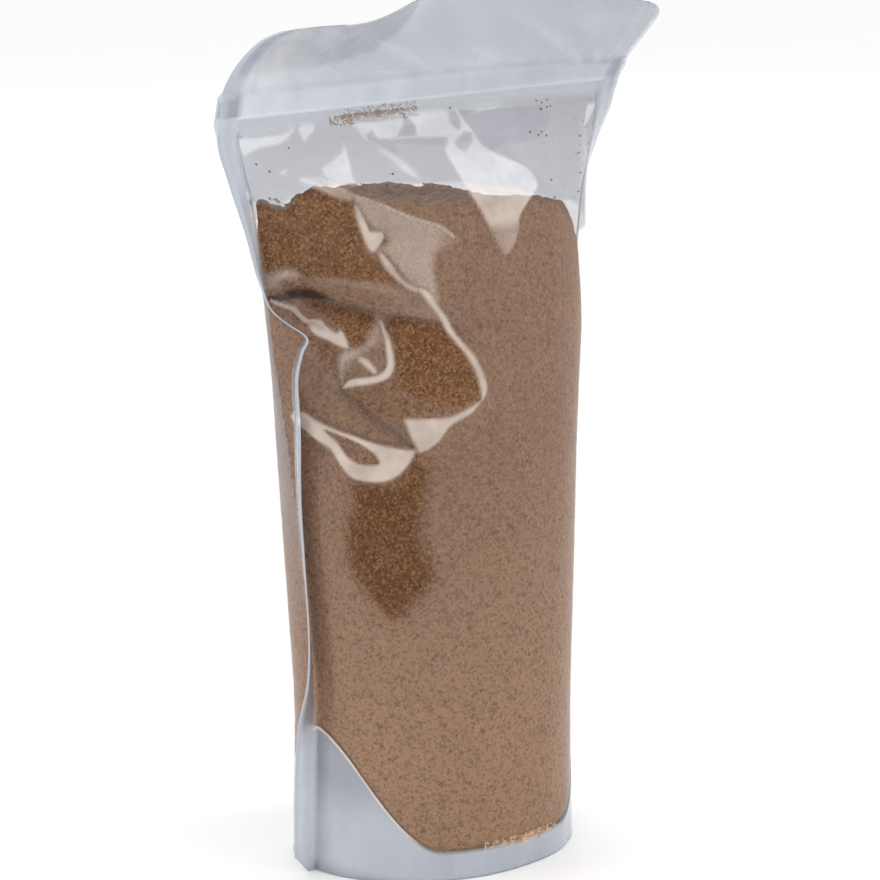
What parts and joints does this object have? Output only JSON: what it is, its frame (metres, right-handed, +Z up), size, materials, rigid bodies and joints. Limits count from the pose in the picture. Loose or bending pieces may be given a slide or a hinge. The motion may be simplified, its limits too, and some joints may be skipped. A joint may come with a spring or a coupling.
{
  "type": "pouch of sugar",
  "caption": "Clear stand-up pouch filled with brown sugar, with side seals, a bottom gusset and a press-to-close zip under its header.",
  "frame": {"origin": "middle of the base, on the surface that the pouch stands on", "axes": "+Z up, -Y towards the front panel, +X along the flat width to the right side seal"},
  "size_m": [0.1604, 0.0904, 0.2725],
  "materials": {
    "sugar_in_film": "clear film over coarse brown sugar",
    "zip_plastic": "milky moulded strip"
  },
  "bodies": {
    "root": {"pouch": "sugar_in_film", "zip_strip": "zip_plastic"}
  },
  "joints": []
}
